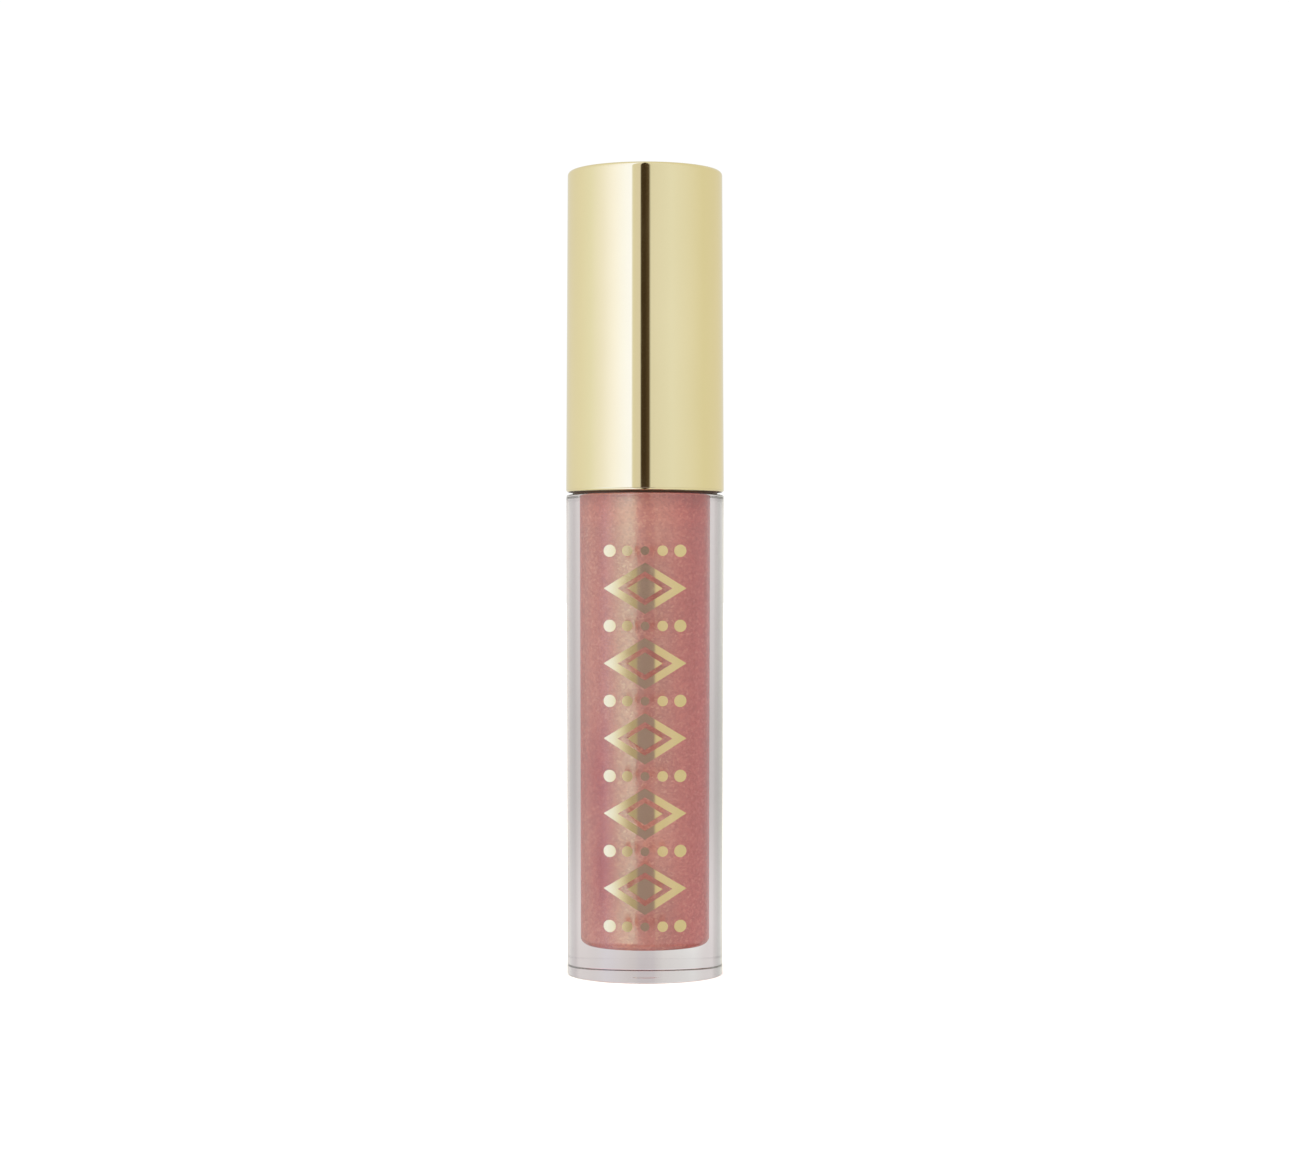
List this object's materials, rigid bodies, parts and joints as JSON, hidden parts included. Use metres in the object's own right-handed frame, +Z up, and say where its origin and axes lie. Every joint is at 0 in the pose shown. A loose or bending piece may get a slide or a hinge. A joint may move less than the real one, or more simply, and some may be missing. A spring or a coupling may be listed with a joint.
{
  "type": "lip gloss tube",
  "caption": "Round thick-walled clear bottle with a screw cap that lifts out a wand with a flocked doe-foot applicator.",
  "frame": {"origin": "middle of the bottle's base, on the face it stands on", "axes": "+Z up along the tube to the top of the cap, -Y out of the decorated front, +X to the front's right"},
  "size_m": [0.0182, 0.0182, 0.093],
  "materials": {
    "clear_plastic": "polished clear copolyester",
    "wiper_plastic": "soft natural polyethylene",
    "gloss_product": "pearly rose with fine shimmer",
    "gold_foil": "bright hot-stamped foil",
    "gold_plating": "pale gold vacuum-metallised and lacquered",
    "dark_plastic": "dark brown moulded polypropylene",
    "liner_foam": "pressed foam washer",
    "stem_plastic": "dark brown, moulded, smooth",
    "core_plastic": "moulded nylon",
    "nylon_flock": "short nylon flock, wetted with product"
  },
  "bodies": {
    "bottle": {"bottle": "clear_plastic", "wiper": "wiper_plastic", "lip_gloss": "gloss_product", "foil_motif": "gold_foil"},
    "liner": {"cap_liner": "liner_foam"},
    "cap": {"outer_cap": "gold_plating", "inner_cap": "dark_plastic", "wand_stem": "stem_plastic", "applicator_core": "core_plastic", "applicator_flock": "nylon_flock"}
  },
  "joints": [
    {"name": "cap_lift", "type": "slide", "parent": "bottle", "child": "liner", "axis": [0, 0, 1], "range_m": [0, 0.08]},
    {"name": "cap_turn", "type": "hinge", "parent": "liner", "child": "cap", "pos_m": [0, 0, 0.071], "axis": [0, 0, 1], "range_deg": [0, 540]}
  ]
}
